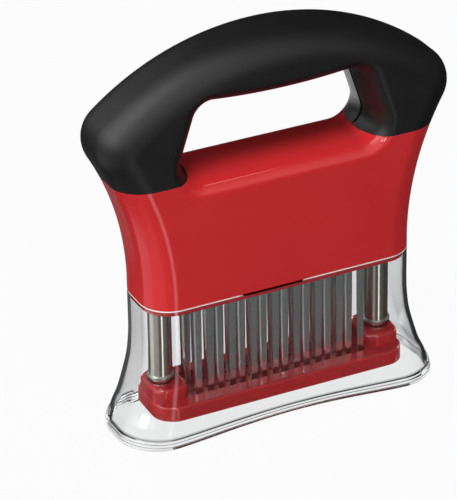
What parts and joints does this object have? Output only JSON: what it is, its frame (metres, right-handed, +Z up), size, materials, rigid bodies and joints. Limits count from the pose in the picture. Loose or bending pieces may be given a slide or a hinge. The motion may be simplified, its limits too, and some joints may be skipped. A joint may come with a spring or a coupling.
{
  "type": "blade meat tenderizer",
  "caption": "Hand-pressed blade meat tenderizer: D-handle housing over rows of flat knives, a sprung guide plate on two columns and a clear blade guard.",
  "frame": {"origin": "centre of the footprint, on the surface that the guard's rim stands on", "axes": "+Z up to the handle, X along the width and the knife rows, -Y the front"},
  "size_m": [0.2016, 0.0594, 0.2205],
  "materials": {
    "red_plastic": "polished, injection moulded",
    "grip_rubber": "soft touch, matte",
    "clear_plastic": "clear, moulded",
    "inner_plastic": "moulded",
    "bush_plastic": "natural acetal",
    "knife_steel": "ground",
    "column_nickel": "nickel plated",
    "spring_steel": "drawn wire",
    "screw_steel": "plated"
  },
  "bodies": {
    "housing": {"housing": "red_plastic", "grip_front": "grip_rubber", "grip_rear": "grip_rubber", "base_plate": "red_plastic", "base_screws": "screw_steel", "knife_holder": "inner_plastic", "clamp_plate": "inner_plastic", "clamp_screws": "screw_steel", "knives_front": "knife_steel", "knives_middle": "knife_steel", "knives_rear": "knife_steel", "column_bush_left": "bush_plastic", "spring_left": "spring_steel", "spring_pin_left": "column_nickel", "column_bush_right": "bush_plastic", "spring_right": "spring_steel", "spring_pin_right": "column_nickel"},
    "guide": {"guide_plate": "red_plastic", "plate_screws": "screw_steel", "column_left": "column_nickel", "column_plug_left": "column_nickel", "retaining_clip_left": "screw_steel", "stop_ring_left": "screw_steel", "column_right": "column_nickel", "column_plug_right": "column_nickel", "retaining_clip_right": "screw_steel", "stop_ring_right": "screw_steel"},
    "guard": {"blade_guard": "clear_plastic"}
  },
  "joints": [
    {"name": "guide_slide", "type": "slide", "parent": "housing", "child": "guide", "axis": [0, 0, 1], "range_m": [0, 0.036], "stiffness_N_per_m": 600, "springref_m": -0.02, "deforming": ["spring_left", "spring_right"]},
    {"name": "guard_off", "type": "slide", "parent": "housing", "child": "guard", "axis": [0, 0, -1], "range_m": [0, 0.1]}
  ]
}
